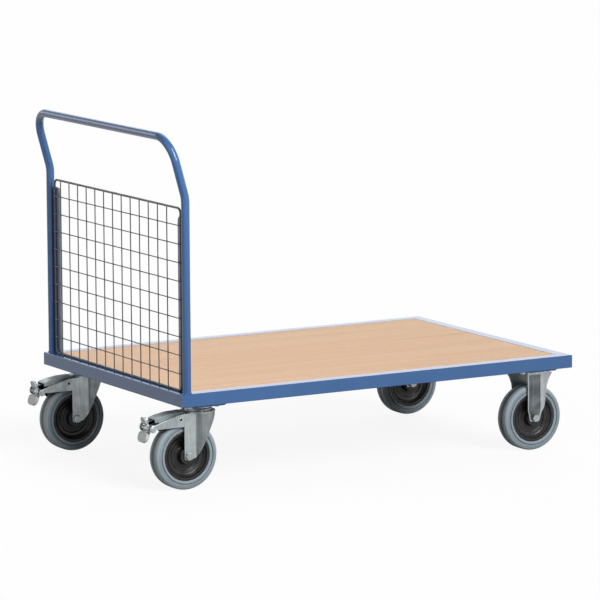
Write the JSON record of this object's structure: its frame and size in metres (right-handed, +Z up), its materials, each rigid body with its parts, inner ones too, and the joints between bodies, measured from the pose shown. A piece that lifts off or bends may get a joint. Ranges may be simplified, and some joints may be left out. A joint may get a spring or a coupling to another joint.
{
  "type": "flatbed platform truck",
  "caption": "Flatbed platform truck: wooden deck in a blue steel frame, wire-mesh end with bent-tube push handle, braked swivel casters at the handle end and fixed casters at the front.",
  "frame": {"origin": "on the floor, under the middle of the overall box", "axes": "+Z up, +X from the handle end to the front end, +Y to the left as seen by the person who pushes"},
  "size_m": [1.2846, 0.8, 0.9383],
  "materials": {
    "blue_paint": "satin",
    "mesh_wire": "satin",
    "board": "satin",
    "zinc": "satin",
    "lever_steel": "satin",
    "tyre_rubber": "matte",
    "wheel_plastic": "matte",
    "pad_plastic": "matte",
    "shoe_rubber": "matte"
  },
  "bodies": {
    "frame": {"board_ledges": "blue_paint", "caster_bolts": "zinc", "caster_nuts": "zinc", "cross_members": "blue_paint", "deck_board": "board", "deck_screws": "zinc", "left_fixed_axle": "zinc", "left_fixed_axle_nut": "zinc", "left_fixed_fork": "zinc", "left_fixed_mount": "blue_paint", "left_kingpin": "zinc", "left_mesh_strip": "blue_paint", "left_swivel_balls": "zinc", "left_swivel_mount": "blue_paint", "left_swivel_plate": "zinc", "mesh_border": "mesh_wire", "mesh_cross_wires": "mesh_wire", "mesh_uprights": "mesh_wire", "push_handle": "blue_paint", "rail_front_end": "blue_paint", "rail_handle_end": "blue_paint", "rail_left": "blue_paint", "rail_right": "blue_paint", "right_fixed_axle": "zinc", "right_fixed_axle_nut": "zinc", "right_fixed_fork": "zinc", "right_fixed_mount": "blue_paint", "right_kingpin": "zinc", "right_mesh_strip": "blue_paint", "right_swivel_balls": "zinc", "right_swivel_mount": "blue_paint", "right_swivel_plate": "zinc"},
    "right_swivel": {"right_swivel_fork": "zinc", "right_brake_pins": "zinc", "right_swivel_axle": "zinc", "right_swivel_axle_nut": "zinc"},
    "right_swivel_roller": {"right_swivel_tyre": "tyre_rubber", "right_swivel_wheel": "wheel_plastic", "right_swivel_bearing": "zinc"},
    "right_pedal": {"right_brake_pedal": "zinc", "right_pedal_pads": "pad_plastic"},
    "right_lever": {"right_brake_lever": "lever_steel", "right_brake_shoe": "shoe_rubber"},
    "right_fixed_roller": {"right_fixed_tyre": "tyre_rubber", "right_fixed_wheel": "wheel_plastic", "right_fixed_bearing": "zinc"},
    "left_swivel": {"left_swivel_fork": "zinc", "left_brake_pins": "zinc", "left_swivel_axle": "zinc", "left_swivel_axle_nut": "zinc"},
    "left_swivel_roller": {"left_swivel_tyre": "tyre_rubber", "left_swivel_wheel": "wheel_plastic", "left_swivel_bearing": "zinc"},
    "left_pedal": {"left_brake_pedal": "zinc", "left_pedal_pads": "pad_plastic"},
    "left_lever": {"left_brake_lever": "lever_steel", "left_brake_shoe": "shoe_rubber"},
    "left_fixed_roller": {"left_fixed_tyre": "tyre_rubber", "left_fixed_wheel": "wheel_plastic", "left_fixed_bearing": "zinc"}
  },
  "joints": [
    {"name": "right_swivel_turn", "type": "hinge", "parent": "frame", "child": "right_swivel", "pos_m": [-0.47169, -0.32149, 0.213], "axis": [0, 0, 1], "continuous": true},
    {"name": "right_swivel_roll", "type": "hinge", "parent": "right_swivel", "child": "right_swivel_roller", "pos_m": [-0.51669, -0.32149, 0.09], "axis": [0, 1, 0], "continuous": true},
    {"name": "right_pedal_press", "type": "hinge", "parent": "right_swivel", "child": "right_pedal", "pos_m": [-0.61969, -0.32149, 0.17], "axis": [0, -1, 0], "range_deg": [0, 20]},
    {"name": "right_lever_press", "type": "hinge", "parent": "right_swivel", "child": "right_lever", "pos_m": [-0.53869, -0.32149, 0.189], "axis": [0, -1, 0], "range_deg": [0, 4.8]},
    {"name": "right_fixed_roll", "type": "hinge", "parent": "frame", "child": "right_fixed_roller", "pos_m": [0.5523, -0.32149, 0.09], "axis": [0, 1, 0], "continuous": true},
    {"name": "left_swivel_turn", "type": "hinge", "parent": "frame", "child": "left_swivel", "pos_m": [-0.47169, 0.32149, 0.213], "axis": [0, 0, 1], "continuous": true},
    {"name": "left_swivel_roll", "type": "hinge", "parent": "left_swivel", "child": "left_swivel_roller", "pos_m": [-0.51669, 0.32149, 0.09], "axis": [0, 1, 0], "continuous": true},
    {"name": "left_pedal_press", "type": "hinge", "parent": "left_swivel", "child": "left_pedal", "pos_m": [-0.61969, 0.32149, 0.17], "axis": [0, -1, 0], "range_deg": [0, 20]},
    {"name": "left_lever_press", "type": "hinge", "parent": "left_swivel", "child": "left_lever", "pos_m": [-0.53869, 0.32149, 0.189], "axis": [0, -1, 0], "range_deg": [0, 4.8]},
    {"name": "left_fixed_roll", "type": "hinge", "parent": "frame", "child": "left_fixed_roller", "pos_m": [0.5523, 0.32149, 0.09], "axis": [0, 1, 0], "continuous": true}
  ],
  "couplings": [
    {"joint": "right_lever_press", "follows": "right_pedal_press", "ratio": 0.24},
    {"joint": "left_lever_press", "follows": "left_pedal_press", "ratio": 0.24}
  ]
}
